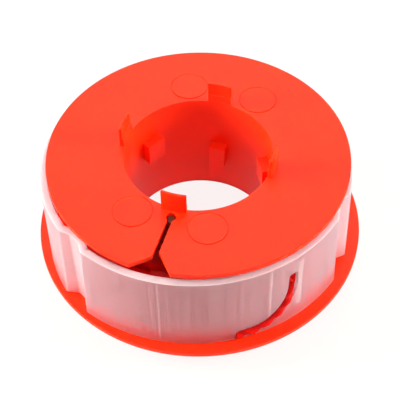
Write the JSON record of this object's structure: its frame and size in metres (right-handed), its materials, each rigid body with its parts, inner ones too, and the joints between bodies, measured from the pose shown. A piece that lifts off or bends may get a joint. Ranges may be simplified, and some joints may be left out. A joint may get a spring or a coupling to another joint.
{
  "type": "trimmer line spool",
  "caption": "Flanged plastic spool wound with trimmer line, kept in place by a translucent slotted band, with snap hooks and indexing lugs at its open bore.",
  "frame": {"origin": "on the spool's axis, at the foot of the skirt under the lower flange", "axes": "+Z along the spool's axis towards the hooks; -Y through the line anchor in the upper flange"},
  "size_m": [0.0896, 0.0896, 0.0397],
  "materials": {
    "spool": "satin moulded plastic",
    "trimmer_line": "drawn nylon",
    "retaining_band": "frosted translucent"
  },
  "bodies": {
    "root": {"spool": "spool", "trimmer_line": "trimmer_line", "retaining_band": "retaining_band"}
  },
  "joints": []
}
